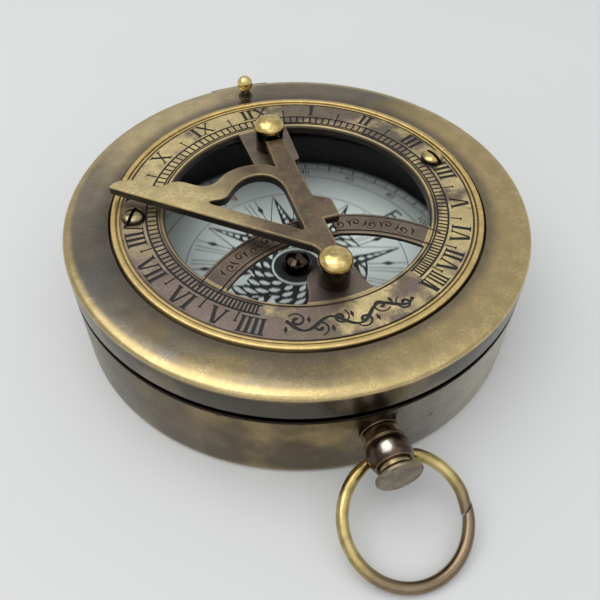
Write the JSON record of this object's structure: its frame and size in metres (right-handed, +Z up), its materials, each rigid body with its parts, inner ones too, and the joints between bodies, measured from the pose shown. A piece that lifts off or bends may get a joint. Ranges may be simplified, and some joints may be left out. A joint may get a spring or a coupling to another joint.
{
  "type": "pocket sundial compass",
  "caption": "Round brass pocket compass whose hinged lid is a sundial: engraved hour ring, folding gnomon, turning rose under glass, push-button catch and split ring bow.",
  "frame": {"origin": "centre of the case's flat underside, the face it rests on", "axes": "+Z up through the dial; +Y towards the hinge, north (XII) on the dial; -Y towards the pendant; +X east"},
  "size_m": [0.075, 0.0986, 0.0257],
  "materials": {
    "aged_brass": "patinated satin",
    "dial_brass": "engraved, darkened in the cuts",
    "polished_brass": "polished",
    "dark_bronze": "darkened satin",
    "spring_steel": "bright",
    "black_paint": "matt black",
    "gasket_rubber": "matt",
    "clear_glass": "clear, polished",
    "printed_card": "white print, matt",
    "ruby_jewel": "polished"
  },
  "bodies": {
    "case": {"base_bowl": "aged_brass", "base_hinge_leaf": "aged_brass", "hinge_pin": "spring_steel", "case_liner": "black_paint", "pivot_plate": "black_paint", "pivot_stud": "spring_steel", "glass_gasket": "gasket_rubber", "compass_glass": "clear_glass", "glass_retainer": "black_paint", "kick_spring": "spring_steel", "kick_spring_screw": "spring_steel", "pendant_neck": "dark_bronze", "button_spring": "spring_steel"},
    "button": {"push_button": "dark_bronze", "button_stop_ring": "spring_steel", "catch_hook": "spring_steel"},
    "bow": {"bow_ring": "aged_brass"},
    "card": {"compass_card": "printed_card", "needle_magnet": "spring_steel", "card_cap": "dark_bronze", "card_jewel": "ruby_jewel"},
    "lid": {"lid_shell": "aged_brass", "lid_hinge_leaf": "aged_brass", "lid_strike": "aged_brass", "dial_plate": "dial_brass", "dial_screw_west": "polished_brass", "dial_screw_east": "polished_brass", "front_post": "polished_brass", "rear_post": "polished_brass", "sight_bead": "polished_brass"},
    "gnomon": {"gnomon": "aged_brass", "gnomon_pin_front": "spring_steel", "gnomon_pin_rear": "spring_steel"}
  },
  "joints": [
    {"name": "lid_hinge", "type": "hinge", "parent": "case", "child": "lid", "pos_m": [0, 0.0392, 0.0143], "axis": [-1, 0, 0], "range_deg": [0, 110]},
    {"name": "gnomon_fold", "type": "hinge", "parent": "lid", "child": "gnomon", "pos_m": [0, -0.0177, 0.02235], "axis": [0, 1, 0], "range_deg": [0, 90]},
    {"name": "button_push", "type": "slide", "parent": "case", "child": "button", "axis": [0, 1, 0], "range_m": [0, 0.0008], "stiffness_N_per_m": 600, "springref_m": -0.001, "deforming": ["button_spring"]},
    {"name": "card_spin", "type": "hinge", "parent": "case", "child": "card", "pos_m": [0, 0, 0.0065], "axis": [0, 0, 1], "continuous": true},
    {"name": "bow_swing", "type": "hinge", "parent": "case", "child": "bow", "pos_m": [0, -0.04095, 0.00765], "axis": [-1, 0, 0], "range_deg": [0, 112]}
  ]
}
